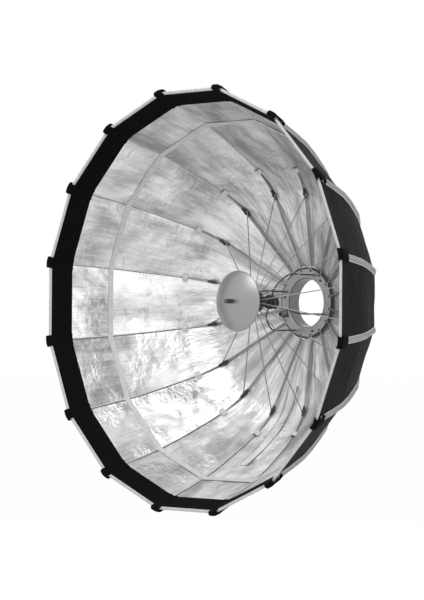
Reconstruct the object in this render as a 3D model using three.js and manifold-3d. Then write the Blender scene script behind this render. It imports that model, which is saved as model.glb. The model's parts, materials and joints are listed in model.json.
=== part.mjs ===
// Quick-release parabolic softbox: sixteen sprung rods on a speedring carry a sixteen-sided fabric bowl.
// Sixteen struts run from the rods to a sliding hub. A latch socket on four bent legs holds the hub's stem,
// and a domed deflector sits on the front of the stem. Pulling the hub forward folds the bowl like an umbrella.
// Millimetres. The origin is the centre of the rear mount face. The bowl opens towards -Y, and +Z is up.
import * as THREE from "three";
import { mergeVertices } from "three/addons/utils/BufferGeometryUtils.js";
import Module from "manifold-3d";

// ---- Driving dimensions. "Forward" is measured towards -Y from the flange's front face. ----
const RIBS = 16;
const FIRST_RIB_DEG = -11.25; // from +Z towards -X: one flat side of the rim lies on top
const BOWL_DEPTH = 477.5; // flange front face to the rim
const RIM_RADIUS = 592; // fabric, centre to corner
const MOUNT_DEPTH = 44; // flange front face back to the rear mount face
const GAP = 0.3; // clearance between separate pieces that touch

const ROD_RADIUS = 2.75;
const ROD_TIP_PROUD = 6; // rod tip outside the fabric corner, held by the rim pocket
const CLIP_POINT = [317.6, 71.5]; // radius and forward distance of the strut clip on the rod
const CLIP_WALL = 1.5;
const CLIP_SIZE = [2 * ROD_RADIUS + CLIP_WALL + 0.5, 2 * ROD_RADIUS + 0.9, 12];
const STUD_RADIUS = 2;
const LOOP_POINT = [386, 120.5]; // where the rod passes out through the fabric
const FABRIC_THICKNESS = 1.5;
const FABRIC_CLEARANCE = 1.7; // rod surface to the fabric beside it
const FABRIC_OFFSET = ROD_RADIUS + FABRIC_THICKNESS / 2 + FABRIC_CLEARANCE;
const SLOT_LENGTH = 28.1 * FABRIC_OFFSET; // opening in each gore: the rod crosses the fabric at about four degrees
const SLOT_DEPTH = 30; // reach of the cut through the curved fabric
const SLOT_WIDTH = 2 * ROD_RADIUS + 2 * FABRIC_THICKNESS + 0.5;
const MIDDLE_BULGE = [2, -6]; // the fabric between the loops and the webbing, off its chord's middle
const BAND_FROM_RIM = [28, 60]; // inner edge of the rim's band, in and back from the rim
const WEB_FROM_RIM = [77, 169.5]; // webbing ring, in and back from the rim

const BORE_RADIUS = 72.3; // flange opening
const FLANGE_RADIUS = 98.5;
const FLANGE_THICKNESS = 4;
const BODY_RADIUS = 104.5; // carrier ring behind the flange
const BODY_THICKNESS = 14;
const HINGE_RADIUS = 96; // rod hinge pins
const EYE_RADIUS = 4;
const EYE_WIDTH = 6;
const PIN_RADIUS = 1.6;
const PIN_LENGTH = 13;
const PIN_CLEARANCE = 0.4; // pin to the back of the flange
const HINGE_DEPTH = FLANGE_THICKNESS + PIN_CLEARANCE + PIN_RADIUS; // behind the flange's front face

const INSERT_BORE = 70.5;
const INSERT_WALL = 3.2;
const COLLAR_RADIUS = 95; // insert's collar behind the carrier ring
const COLLAR_THICKNESS = 4;
const LUG_COUNT = 3;
const LUG_RADIUS = 79;
const LUG_THICKNESS = 5;
const LUG_WIDTH = 34;

const LEG_COUNT = 4;
const LEG_FIRST_DEG = -22.5; // from +Z towards -X
const LEG_CIRCLE = 87;
const LEG_RADIUS = 2.4;
const BOSS_RADIUS = 5.5;
const BOSS_HEIGHT = 8;
const LEG_STRAIGHT = 98; // forward end of each leg's straight stretch
const BRACKET_FORWARD = 147.5; // plane where the legs meet the socket's collar

const SOCKET_RADIUS = 16;
const SOCKET_BACK = 125;
const SOCKET_FRONT = 160;
const SOCKET_FLANGE_RADIUS = 18.5;
const SOCKET_FLANGE_THICKNESS = 6;
const BRACKET_COLLAR_RADIUS = 20.5;
const BRACKET_COLLAR_WIDTH = 12;
const BUTTON_RADIUS = 4.5;
const BUTTON_PROUD = 4;
const BUTTON_FORWARD = 133;
const BUTTON_TRAVEL = 2;
const BUTTON_FLOOR = 8; // radius of the button pocket's floor
const BUTTON_DEGREES = [22.5, 202.5];

const HUB_PIVOT_RADIUS = 24.5;
const HUB_PIVOT_FORWARD = 209.5;
const HUB_RADIUS = 29;
const HUB_BACK = 197;
const HUB_FRONT = 223;
const HUB_CAP = 6; // unslotted front of the hub
const HUB_CORE = 17;
const HUB_WIRE_RADIUS = 1;
const STRUT_RADIUS = 1.6;
const STRUT_EYE_RADIUS = 3.1;
const STRUT_EYE_WIDTH = 2.8;
const STRUT_SIDE_STEP = 6; // the strut's outer end lies beside the rod

const STEM_RADIUS = 5;
const STEM_TIP_CLEARANCE = 3; // stem end to the socket's floor
const STEM_GROOVE_DEPTH = 1.2;
const STEM_GROOVE_WIDTH = 4;
const THREAD_RADIUS = 3;
const DEFLECTOR_RADIUS = 86.6;
const DEFLECTOR_EDGE_FORWARD = 278.3;
const DEFLECTOR_RISE = 25;
const DEFLECTOR_THICKNESS = 1.6;
const KNOB_RADIUS = 6.5;
const KNOB_LENGTH = 26;
const KNOB_CAP = 3; // closed end of the knob

const LOCK_DEG = 112.5; // from +Z towards -X
const LOCK_CIRCLE = 85.5;
const LOCK_RADIUS = 9.5;
const LOCK_HEIGHT = 24;
const LOCK_PIN_RADIUS = 3;
const LOCK_HOLLOW_RADIUS = 5;
const LOCK_HOLLOW_DEPTH = 9;

const wasm = await Module();
wasm.setup();

// ---- Helpers ----
const yAt = (forward) => -(MOUNT_DEPTH + forward);
const radians = THREE.MathUtils.degToRad;
const bodyBack = FLANGE_THICKNESS + GAP + BODY_THICKNESS; // behind the flange's front face

// A closed three.js geometry as a manifold solid; a sweep that came out inside out is turned.
function solid(geometry) {
  const plain = geometry.index ? geometry.toNonIndexed() : geometry.clone();
  plain.deleteAttribute("normal");
  plain.deleteAttribute("uv");
  const merged = mergeVertices(plain, 1e-4);
  const build = (triVerts) =>
    new wasm.Manifold(
      new wasm.Mesh({ numProp: 3, vertProperties: merged.attributes.position.array, triVerts }),
    );
  const made = build(new Uint32Array(merged.index.array));
  return made.volume() < 0 ? build(new Uint32Array(merged.index.array).reverse()) : made;
}

function geometryOf(manifold) {
  const mesh = manifold.getMesh();
  const indexed = new THREE.BufferGeometry();
  indexed.setAttribute("position", new THREE.BufferAttribute(mesh.vertProperties, 3));
  indexed.setIndex(new THREE.BufferAttribute(mesh.triVerts, 1));
  const flat = indexed.toNonIndexed();
  flat.computeVertexNormals();
  return flat;
}

// A solid of revolution about the Y axis from [radius, forward] points.
function turned(profile, segments, startDeg = 0) {
  const points = profile.map(([radius, forward]) => new THREE.Vector2(radius, yAt(forward)));
  if (THREE.ShapeUtils.area(points) < 0) points.reverse();
  points.push(points[0].clone());
  return solid(new THREE.LatheGeometry(points, segments, radians(startDeg)));
}

// A box in the rib frame: x across the rib, y along the axis, z outwards from the axis.
function block(width, forwardRange, radialRange) {
  const [back, front] = forwardRange;
  const [inner, outer] = radialRange;
  const geometry = new THREE.BoxGeometry(width, front - back, outer - inner);
  geometry.translate(0, yAt((back + front) / 2), (inner + outer) / 2);
  return geometry;
}

// A cylinder across the rib, centred at x, at a radius and a forward distance.
function crossPin(radius, length, x, radial, forward, sides) {
  const geometry = new THREE.CylinderGeometry(radius, radius, length, sides);
  geometry.rotateZ(Math.PI / 2);
  geometry.translate(x, yAt(forward), radial);
  return geometry;
}

// A round bar swept along a curve of rib-frame points.
function bar(curve, radius, steps, sides) {
  const section = new THREE.Shape();
  for (let i = 0; i < sides; i++) {
    const angle = (2 * Math.PI * i) / sides;
    const point = [radius * Math.cos(angle), radius * Math.sin(angle)];
    if (i) section.lineTo(...point);
    else section.moveTo(...point);
  }
  return solid(new THREE.ExtrudeGeometry(section, { extrudePath: curve, steps, bevelEnabled: false }));
}

const ribPoint = ([radial, forward], across = 0) => new THREE.Vector3(across, yAt(forward), radial);

// Turns a rib-frame geometry to an angle from +Z towards -X.
const turnedTo = (geometry, degrees) => geometry.clone().rotateY(-radians(degrees));

function around(count, firstDeg, geometry) {
  return Array.from({ length: count }, (_, i) => solid(turnedTo(geometry, firstDeg + (360 / count) * i)));
}

const subtractAll = (base, tools) => tools.reduce((left, tool) => left.subtract(tool), base);
const addAll = (base, extras) => extras.reduce((left, extra) => left.add(extra), base);

const finish = {
  aluminium: { color: 0xb9bbbd, roughness: 0.38, metalness: 0.9 },
  darkRing: { color: 0x3a3b3e, roughness: 0.45, metalness: 0.7 },
  steel: { color: 0x77797c, roughness: 0.3, metalness: 0.95 },
  blackPlastic: { color: 0x232426, roughness: 0.5, metalness: 0 },
  fabric: { color: 0x9a9c9e, roughness: 0.4, metalness: 0.5 },
};

const softbox = new THREE.Group();
function addPiece(name, manifold, look, degrees = 0) {
  const mesh = new THREE.Mesh(geometryOf(manifold), new THREE.MeshStandardMaterial(finish[look]));
  mesh.name = name;
  mesh.rotation.y = -radians(degrees);
  softbox.add(mesh);
}

// ---- Speedring: front flange and carrier ring, notched for the rods ----
function speedringFlange() {
  const plate = turned(
    [
      [BORE_RADIUS, -FLANGE_THICKNESS],
      [FLANGE_RADIUS, -FLANGE_THICKNESS],
      [FLANGE_RADIUS, -1],
      [FLANGE_RADIUS - 1, 0],
      [BORE_RADIUS, 0],
    ],
    32,
  );
  const boss = new THREE.CylinderGeometry(BOSS_RADIUS, BOSS_RADIUS, BOSS_HEIGHT + 1, 10);
  boss.translate(0, yAt((BOSS_HEIGHT - 1) / 2), LEG_CIRCLE);
  const legBore = new THREE.CylinderGeometry(LEG_RADIUS + GAP, LEG_RADIUS + GAP, 2 * BOSS_HEIGHT, 8);
  legBore.translate(0, yAt(BOSS_HEIGHT), LEG_CIRCLE);
  const notch = block(
    EYE_WIDTH + 2 * GAP,
    [-FLANGE_THICKNESS - 1, 1],
    [HINGE_RADIUS - EYE_RADIUS - 2 * GAP, FLANGE_RADIUS + 5],
  );
  const withBosses = addAll(plate, around(LEG_COUNT, LEG_FIRST_DEG, boss));
  const bored = subtractAll(withBosses, around(LEG_COUNT, LEG_FIRST_DEG, legBore));
  const notched = subtractAll(bored, around(RIBS, FIRST_RIB_DEG, notch));
  return notched.subtract(solid(lockBore()));
}

function lockBore() {
  const bore = new THREE.CylinderGeometry(LOCK_PIN_RADIUS + GAP, LOCK_PIN_RADIUS + GAP, 2 * bodyBack, 10);
  bore.translate(0, yAt(-bodyBack / 2 - 1), LOCK_CIRCLE);
  return turnedTo(bore, LOCK_DEG);
}

function speedringBody() {
  const front = -FLANGE_THICKNESS - GAP;
  const inner = INSERT_BORE + INSERT_WALL + GAP;
  const ring = turned(
    [
      [inner, -bodyBack],
      [BODY_RADIUS - 2, -bodyBack],
      [BODY_RADIUS, -bodyBack + 2],
      [BODY_RADIUS, front],
      [inner, front],
    ],
    48,
  );
  const slotFloor = -HINGE_DEPTH - EYE_RADIUS - 2 * GAP;
  const slot = block(
    EYE_WIDTH + 2 * GAP,
    [slotFloor, front + 1],
    [HINGE_RADIUS - EYE_RADIUS - 2 * GAP, BODY_RADIUS + 5],
  );
  const pinSeat = block(
    PIN_LENGTH + 2 * GAP,
    [-HINGE_DEPTH - PIN_RADIUS - GAP, front + 1],
    [HINGE_RADIUS - PIN_RADIUS - GAP, HINGE_RADIUS + PIN_RADIUS + GAP],
  );
  const slotted = subtractAll(ring, around(RIBS, FIRST_RIB_DEG, slot));
  const seated = subtractAll(slotted, around(RIBS, FIRST_RIB_DEG, pinSeat));
  return seated.subtract(solid(lockBore()));
}

// ---- Mount insert: a tube with a collar behind the carrier ring and bayonet lugs at the rear ----
function mountInsert() {
  const outer = INSERT_BORE + INSERT_WALL;
  const collarFront = -bodyBack - GAP;
  const tube = turned(
    [
      [INSERT_BORE, -MOUNT_DEPTH],
      [outer, -MOUNT_DEPTH],
      [outer, collarFront - COLLAR_THICKNESS],
      [COLLAR_RADIUS, collarFront - COLLAR_THICKNESS],
      [COLLAR_RADIUS, collarFront],
      [outer, collarFront],
      [outer, -FLANGE_THICKNESS - GAP],
      [INSERT_BORE, -FLANGE_THICKNESS - GAP],
    ],
    48,
  );
  const lug = block(LUG_WIDTH, [-MOUNT_DEPTH, -MOUNT_DEPTH + LUG_THICKNESS], [INSERT_BORE + 1, LUG_RADIUS]);
  return addAll(tube, around(LUG_COUNT, 0, lug));
}

// ---- Latch bracket and socket ----
function latchBracket() {
  const collar = turned(
    [
      [SOCKET_RADIUS + GAP, BRACKET_FORWARD - BRACKET_COLLAR_WIDTH / 2],
      [BRACKET_COLLAR_RADIUS, BRACKET_FORWARD - BRACKET_COLLAR_WIDTH / 2],
      [BRACKET_COLLAR_RADIUS, BRACKET_FORWARD + BRACKET_COLLAR_WIDTH / 2],
      [SOCKET_RADIUS + GAP, BRACKET_FORWARD + BRACKET_COLLAR_WIDTH / 2],
    ],
    24,
  );
  const bend = BRACKET_FORWARD - LEG_STRAIGHT;
  const path = new THREE.CatmullRomCurve3(
    [
      [LEG_CIRCLE, GAP],
      [LEG_CIRCLE, LEG_STRAIGHT / 2],
      [LEG_CIRCLE, LEG_STRAIGHT],
      [LEG_CIRCLE - 0.15 * bend, LEG_STRAIGHT + 0.36 * bend],
      [LEG_CIRCLE - 0.44 * bend, LEG_STRAIGHT + 0.66 * bend],
      [LEG_CIRCLE - 0.72 * bend, LEG_STRAIGHT + 0.92 * bend],
      [LEG_CIRCLE - bend, BRACKET_FORWARD],
      [BRACKET_COLLAR_RADIUS - 2, BRACKET_FORWARD],
    ].map((point) => ribPoint(point)),
  );
  const leg = geometryOf(bar(path, LEG_RADIUS, 14, 6));
  return addAll(collar, around(LEG_COUNT, LEG_FIRST_DEG, leg));
}

function latchSocket() {
  const flangeBack = BRACKET_FORWARD + BRACKET_COLLAR_WIDTH / 2 + GAP;
  const stemEnd = SOCKET_BACK + STEM_TIP_CLEARANCE;
  const barrel = turned(
    [
      [0, SOCKET_BACK],
      [SOCKET_RADIUS - 2, SOCKET_BACK],
      [SOCKET_RADIUS, SOCKET_BACK + 2],
      [SOCKET_RADIUS, flangeBack],
      [SOCKET_FLANGE_RADIUS, flangeBack],
      [SOCKET_FLANGE_RADIUS, flangeBack + SOCKET_FLANGE_THICKNESS],
      [STEM_RADIUS + GAP, flangeBack + SOCKET_FLANGE_THICKNESS],
      [STEM_RADIUS + GAP, stemEnd],
      [0, stemEnd],
    ],
    24,
  );
  const pocket = new THREE.CylinderGeometry(BUTTON_RADIUS + GAP, BUTTON_RADIUS + GAP, SOCKET_RADIUS, 12);
  pocket.rotateX(Math.PI / 2);
  pocket.translate(0, yAt(BUTTON_FORWARD), BUTTON_FLOOR + SOCKET_RADIUS / 2);
  return subtractAll(barrel, BUTTON_DEGREES.map((degrees) => solid(turnedTo(pocket, degrees))));
}

function releaseButton() {
  const inner = BUTTON_FLOOR + BUTTON_TRAVEL + GAP;
  const outer = SOCKET_RADIUS + BUTTON_PROUD;
  const button = new THREE.CylinderGeometry(BUTTON_RADIUS, BUTTON_RADIUS, outer - inner, 12);
  button.rotateX(Math.PI / 2);
  button.translate(0, yAt(BUTTON_FORWARD), (inner + outer) / 2);
  return solid(button);
}

// ---- Hub, stem, deflector and knob ----
function strutHub() {
  const disc = turned(
    [
      [STEM_RADIUS + GAP, HUB_BACK],
      [HUB_RADIUS, HUB_BACK],
      [HUB_RADIUS, HUB_FRONT - 2],
      [HUB_RADIUS - 2, HUB_FRONT],
      [STEM_RADIUS + GAP, HUB_FRONT],
    ],
    32,
  );
  const slot = block(
    STRUT_EYE_WIDTH + 2 * GAP,
    [HUB_BACK - 5, HUB_FRONT - HUB_CAP],
    [HUB_CORE, HUB_RADIUS + 5],
  );
  const wire = new THREE.TorusGeometry(HUB_PIVOT_RADIUS, HUB_WIRE_RADIUS, 5, RIBS);
  wire.rotateX(Math.PI / 2);
  wire.rotateY(radians(FIRST_RIB_DEG));
  wire.translate(0, yAt(HUB_PIVOT_FORWARD), 0);
  return subtractAll(disc, around(RIBS, FIRST_RIB_DEG, slot)).add(solid(wire));
}

const domeApex = DEFLECTOR_EDGE_FORWARD + DEFLECTOR_RISE;

function hubStem() {
  const tip = SOCKET_BACK + 2 * STEM_TIP_CLEARANCE;
  const groove = BUTTON_FORWARD + STEM_GROOVE_WIDTH;
  const shoulder = domeApex - DEFLECTOR_THICKNESS - GAP;
  return turned(
    [
      [0, tip],
      [STEM_RADIUS - 2, tip],
      [STEM_RADIUS, tip + 2],
      [STEM_RADIUS, groove],
      [STEM_RADIUS - STEM_GROOVE_DEPTH, groove],
      [STEM_RADIUS - STEM_GROOVE_DEPTH, groove + STEM_GROOVE_WIDTH],
      [STEM_RADIUS, groove + STEM_GROOVE_WIDTH],
      [STEM_RADIUS, shoulder],
      [THREAD_RADIUS, shoulder],
      [THREAD_RADIUS, domeApex + KNOB_LENGTH - KNOB_CAP - 1],
      [0, domeApex + KNOB_LENGTH - KNOB_CAP - 1],
    ],
    16,
  );
}

// The dome is part of a sphere through its edge and its apex.
function deflectorDome() {
  const sphere = (DEFLECTOR_RADIUS ** 2 + DEFLECTOR_RISE ** 2) / (2 * DEFLECTOR_RISE);
  const height = (radius) => domeApex - sphere + Math.sqrt(sphere ** 2 - radius ** 2);
  const hole = THREAD_RADIUS + GAP;
  const steps = 4;
  const radii = Array.from({ length: steps + 1 }, (_, i) => hole + ((DEFLECTOR_RADIUS - hole) * i) / steps);
  const front = radii.map((radius) => [radius, height(radius)]);
  const back = radii.map((radius) => [radius, height(radius) - DEFLECTOR_THICKNESS]).reverse();
  return turned([...front, ...back], 32);
}

function deflectorKnob() {
  const base = domeApex + GAP;
  const end = base + KNOB_LENGTH;
  const bore = THREAD_RADIUS + GAP;
  return turned(
    [
      [bore, base],
      [KNOB_RADIUS, base],
      [KNOB_RADIUS, end - 1],
      [KNOB_RADIUS - 1, end],
      [0, end],
      [0, end - KNOB_CAP],
      [bore, end - KNOB_CAP],
    ],
    16,
  );
}

// ---- Lock knob: a sprung plunger whose pin passes through the flange and the carrier ring ----
function lockKnob() {
  const profile = [
    [0, -bodyBack + GAP],
    [LOCK_PIN_RADIUS, -bodyBack + GAP],
    [LOCK_PIN_RADIUS, GAP],
    [LOCK_RADIUS - 1, GAP],
    [LOCK_RADIUS, 1 + GAP],
    [LOCK_RADIUS, LOCK_HEIGHT - 1],
    [LOCK_RADIUS - 1, LOCK_HEIGHT],
    [LOCK_HOLLOW_RADIUS, LOCK_HEIGHT],
    [LOCK_HOLLOW_RADIUS, LOCK_HEIGHT - LOCK_HOLLOW_DEPTH],
    [0, LOCK_HEIGHT - LOCK_HOLLOW_DEPTH],
  ];
  return solid(geometryOf(turned(profile, 16)).translate(0, 0, LOCK_CIRCLE));
}

// ---- Rods, struts and gores ----
const hinge = [HINGE_RADIUS, -HINGE_DEPTH];
const between = (a, b, share) => [a[0] + (b[0] - a[0]) * share, a[1] + (b[1] - a[1]) * share];
const stepped = (a, b) => [a[0] + b[0], a[1] + b[1]];
const slopeBetween = (a, b) => THREE.MathUtils.radToDeg(Math.atan2(b[1] - a[1], b[0] - a[0]));
const rim = [RIM_RADIUS, BOWL_DEPTH];
const bandPoint = [RIM_RADIUS - BAND_FROM_RIM[0], BOWL_DEPTH - BAND_FROM_RIM[1]];
const webPoint = [RIM_RADIUS - WEB_FROM_RIM[0], BOWL_DEPTH - WEB_FROM_RIM[1]];
const middlePoint = stepped(between(LOOP_POINT, webPoint, 0.5), MIDDLE_BULGE);
const innerSlope = slopeBetween(hinge, CLIP_POINT);
const clipSlope = (innerSlope + slopeBetween(CLIP_POINT, LOOP_POINT)) / 2;

// A point moved square to the profile; positive goes outwards and back.
function moved([radial, forward], slopeDeg, distance) {
  const slope = radians(slopeDeg);
  return [radial + distance * Math.sin(slope), forward - distance * Math.cos(slope)];
}

// The fabric's middle line, from the carrier ring's edge to the rim.
const gatherRadius = (BODY_RADIUS + GAP) / Math.cos(Math.PI / RIBS);
const gatherPoint = [gatherRadius + FABRIC_THICKNESS / 2, -HINGE_DEPTH - 2];
const fabricPoints = [
  gatherPoint,
  moved(between(hinge, CLIP_POINT, 0.5), innerSlope, FABRIC_OFFSET),
  moved(CLIP_POINT, clipSlope, FABRIC_OFFSET),
  LOOP_POINT,
  middlePoint,
  webPoint,
  bandPoint,
  rim,
];
const fabricCurve = new THREE.CatmullRomCurve3(fabricPoints.map((point) => ribPoint(point)));

// The fabric's middle line at a share of the curve: [radius, forward] and its slope.
function fabricAt(share) {
  const point = fabricCurve.getPoint(share);
  const tangent = fabricCurve.getTangent(share);
  const slopeDeg = THREE.MathUtils.radToDeg(Math.atan2(-tangent.y, tangent.z));
  return { point: [point.z, -point.y - MOUNT_DEPTH], slopeDeg };
}

const shareOf = (controlPoint) => fabricPoints.indexOf(controlPoint) / (fabricPoints.length - 1);

// The rod runs inside the fabric to its loop and outside it from there to the rim.
const outsideFabric = [middlePoint, webPoint, bandPoint].map((controlPoint) => {
  const { point, slopeDeg } = fabricAt(shareOf(controlPoint));
  return moved(point, slopeDeg, FABRIC_OFFSET);
});
const rodCurve = new THREE.CatmullRomCurve3(
  [
    hinge,
    between(hinge, CLIP_POINT, 0.5),
    CLIP_POINT,
    LOOP_POINT,
    ...outsideFabric,
    [RIM_RADIUS + ROD_TIP_PROUD, BOWL_DEPTH - 1],
  ].map((point) => ribPoint(point)),
);

function rod() {
  const eye = solid(crossPin(EYE_RADIUS, EYE_WIDTH, 0, ...hinge, 6));
  const pin = solid(crossPin(PIN_RADIUS, PIN_LENGTH, 0, ...hinge, 6));
  const clip = new THREE.BoxGeometry(...CLIP_SIZE);
  clip.rotateX(radians(clipSlope));
  clip.translate(-CLIP_WALL / 2, yAt(CLIP_POINT[1]), CLIP_POINT[0]);
  const studLength = STRUT_SIDE_STEP - STRUT_EYE_WIDTH / 2 - GAP;
  const stud = solid(crossPin(STUD_RADIUS, studLength, studLength / 2, ...CLIP_POINT, 6));
  return addAll(bar(rodCurve, ROD_RADIUS, 12, 5), [eye, pin, solid(clip), stud]);
}

function strut() {
  const start = ribPoint([HUB_PIVOT_RADIUS, HUB_PIVOT_FORWARD]);
  const end = ribPoint(CLIP_POINT, STRUT_SIDE_STEP);
  const along = end.clone().sub(start).normalize();
  const path = new THREE.LineCurve3(start.clone().addScaledVector(along, HUB_WIRE_RADIUS + 1), end);
  const wire = bar(path, STRUT_RADIUS, 1, 5);
  const hubEye = solid(
    crossPin(STRUT_EYE_RADIUS, STRUT_EYE_WIDTH, 0, HUB_PIVOT_RADIUS, HUB_PIVOT_FORWARD, 8),
  );
  const clipEye = solid(crossPin(STRUT_EYE_RADIUS, STRUT_EYE_WIDTH, STRUT_SIDE_STEP, ...CLIP_POINT, 6));
  const bore = solid(
    crossPin(HUB_WIRE_RADIUS + 2 * GAP, 4 * STRUT_EYE_WIDTH, 0, HUB_PIVOT_RADIUS, HUB_PIVOT_FORWARD, 6),
  );
  return wire.add(hubEye).add(clipEye).subtract(bore);
}

// A sixteen-sided bowl whose corners lie on the ribs, cut to one gore between two panel middles.
function gore() {
  const steps = 14;
  const rows = Array.from({ length: steps + 1 }, (_, i) => fabricAt(i / steps));
  const outside = rows.map((row) => moved(row.point, row.slopeDeg, FABRIC_THICKNESS / 2));
  const inside = rows.map((row) => moved(row.point, row.slopeDeg, -FABRIC_THICKNESS / 2)).reverse();
  const bowl = turned([...outside, ...inside], RIBS);
  const reach = 1.5 * RIM_RADIUS;
  const half = Math.PI / RIBS;
  const apex = GAP / 2 / Math.sin(half);
  const wedge = new THREE.Shape([
    new THREE.Vector2(0, apex),
    new THREE.Vector2(reach * Math.tan(half), apex + reach),
    new THREE.Vector2(-reach * Math.tan(half), apex + reach),
  ]);
  const prism = new THREE.ExtrudeGeometry(wedge, { depth: 2 * BOWL_DEPTH, bevelEnabled: false });
  prism.rotateX(Math.PI / 2);
  prism.translate(0, BOWL_DEPTH / 2, 0);
  const opening = new THREE.BoxGeometry(SLOT_WIDTH, SLOT_DEPTH, SLOT_LENGTH);
  opening.rotateX(radians(fabricAt(shareOf(LOOP_POINT)).slopeDeg));
  opening.translate(0, yAt(LOOP_POINT[1] - 1), LOOP_POINT[0]);
  return bowl.intersect(solid(prism)).subtract(solid(opening));
}

// ---- Assembly ----
addPiece("speedring_flange", speedringFlange(), "aluminium");
addPiece("speedring_body", speedringBody(), "darkRing");
addPiece("mount_insert", mountInsert(), "aluminium");
addPiece("latch_bracket", latchBracket(), "steel");
addPiece("latch_socket", latchSocket(), "blackPlastic");
addPiece("release_button_a", releaseButton(), "blackPlastic", BUTTON_DEGREES[0]);
addPiece("release_button_b", releaseButton(), "blackPlastic", BUTTON_DEGREES[1]);
addPiece("strut_hub", strutHub(), "blackPlastic");
addPiece("hub_stem", hubStem(), "steel");
addPiece("deflector", deflectorDome(), "aluminium");
addPiece("deflector_knob", deflectorKnob(), "darkRing");
addPiece("ring_lock_knob", lockKnob(), "aluminium", LOCK_DEG);

const rodSolid = rod();
const strutSolid = strut();
const goreSolid = gore();
for (let i = 0; i < RIBS; i++) {
  const degrees = FIRST_RIB_DEG + (360 / RIBS) * i;
  const label = String(i + 1).padStart(2, "0");
  addPiece("rod_" + label, rodSolid, "steel", degrees);
  addPiece("strut_" + label, strutSolid, "steel", degrees);
  addPiece("gore_" + label, goreSolid, "fabric", degrees);
}

export default softbox;
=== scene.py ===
"""Looks of the sixteen-sided parabolic softbox: fabric, tapes, rods, struts, metals and light. Metres."""
import json
import math

import bpy
import numpy as np
from mathutils import Matrix, Vector, noise


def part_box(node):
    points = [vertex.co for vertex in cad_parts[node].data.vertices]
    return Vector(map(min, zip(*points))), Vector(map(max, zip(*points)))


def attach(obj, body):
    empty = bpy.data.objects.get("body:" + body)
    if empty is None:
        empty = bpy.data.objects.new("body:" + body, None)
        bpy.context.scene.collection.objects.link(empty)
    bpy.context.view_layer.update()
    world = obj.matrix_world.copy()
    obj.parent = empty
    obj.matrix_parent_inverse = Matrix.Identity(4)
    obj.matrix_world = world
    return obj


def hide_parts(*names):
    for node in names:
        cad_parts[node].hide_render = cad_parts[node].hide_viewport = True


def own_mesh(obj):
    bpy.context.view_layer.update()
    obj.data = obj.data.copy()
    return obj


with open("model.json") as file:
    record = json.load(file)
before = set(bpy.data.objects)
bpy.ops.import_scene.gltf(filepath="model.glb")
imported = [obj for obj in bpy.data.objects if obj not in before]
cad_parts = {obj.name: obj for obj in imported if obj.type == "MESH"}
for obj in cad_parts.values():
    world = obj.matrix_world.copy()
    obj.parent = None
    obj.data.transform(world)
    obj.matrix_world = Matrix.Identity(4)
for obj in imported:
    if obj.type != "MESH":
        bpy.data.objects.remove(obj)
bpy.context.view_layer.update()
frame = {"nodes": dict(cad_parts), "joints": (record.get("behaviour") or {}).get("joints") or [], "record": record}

RIBS = 16
STEP = 2 * math.pi / RIBS
FIRST_RIB = math.radians(-11.25)  # from +Z towards -X
AXIS = np.array([0.0, 1.0, 0.0])
MM = 0.001

# ---- Camera: eye level, 46 degrees to the right of the axis, a long lens from 7.3 m ----
CAMERA_AZIMUTH, CAMERA_ELEVATION, CAMERA_ROLL = 45.821, -0.949, 0.376
CAMERA_DISTANCE, CAMERA_LENS = 7.274, 157.1
CAMERA_RIGHT, CAMERA_UP = 0.0699, 0.0004  # the eye's sideways and upward shift


def make_camera(rim_y):
    az, el, roll = (math.radians(x) for x in (CAMERA_AZIMUTH, CAMERA_ELEVATION, CAMERA_ROLL))
    back = Vector((math.sin(az) * math.cos(el), -math.cos(az) * math.cos(el), math.sin(el)))
    level = Vector((math.cos(az), math.sin(az), 0))
    up = back.cross(level)
    right = level * math.cos(roll) + up * math.sin(roll)
    up = up * math.cos(roll) - level * math.sin(roll)
    data = bpy.data.cameras.new("camera")
    data.lens, data.sensor_width = CAMERA_LENS, 36
    data.clip_end = 100
    camera = bpy.data.objects.new("camera", data)
    bpy.context.scene.collection.objects.link(camera)
    place = back * CAMERA_DISTANCE + right * CAMERA_RIGHT + up * CAMERA_UP + Vector((0, rim_y, 0))
    turn = Matrix((right, up, back)).transposed().to_4x4()
    camera.matrix_world = Matrix.Translation(place) @ turn
    bpy.context.scene.camera = camera


# ---- Where things are, read from the frame ----
def radial(angle):
    return np.array([-math.sin(angle), 0.0, math.cos(angle)])


def tangent(angle):
    return np.array([math.cos(angle), 0.0, math.sin(angle)])


def rib_angle(k):
    return FIRST_RIB + STEP * k


def rib_point(k, radius, y, across=0.0):
    """A point in rib k's plane, moved sideways by across."""
    return radial(rib_angle(k)) * radius + AXIS * y + tangent(rib_angle(k)) * across


def gore_profile():
    """(radius, y) of the fabric's middle line on a rib, from the CAD gore's two long edges."""
    points = np.array([v.co for v in frame["nodes"]["gore_01"].data.vertices])
    radius, across = points @ radial(rib_angle(0)), points @ tangent(rib_angle(0))
    edge = across > radius * math.tan(STEP / 2) - 0.0006
    rows = np.unique(np.round(np.c_[radius[edge] / math.cos(STEP / 2) ** 2, points[edge, 1]], 5), axis=0)
    rows = rows[np.argsort(rows[:, 0] - rows[:, 1])]
    return (rows[0::2] + rows[1::2]) / 2


def smooth_line(points, count):
    """count points evenly along a smooth curve through the given ones."""
    points = np.asarray(points, float)
    padded = np.vstack([2 * points[0] - points[1], points, 2 * points[-1] - points[-2]])
    dense = []
    for i in range(1, len(padded) - 2):
        p0, p1, p2, p3 = padded[i - 1 : i + 3]
        for t in np.linspace(0, 1, 24, endpoint=False):
            square = (2 * p0 - 5 * p1 + 4 * p2 - p3) * t**2
            cube = (3 * p1 - p0 - 3 * p2 + p3) * t**3
            dense.append(0.5 * (2 * p1 + (p2 - p0) * t + square + cube))
    dense = np.array([*dense, padded[-2]])
    along = np.r_[0, np.cumsum(np.linalg.norm(np.diff(dense, axis=0), axis=1))]
    wanted = np.linspace(0, along[-1], count)
    return np.c_[[np.interp(wanted, along, dense[:, i]) for i in range(dense.shape[1])]].T


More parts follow.
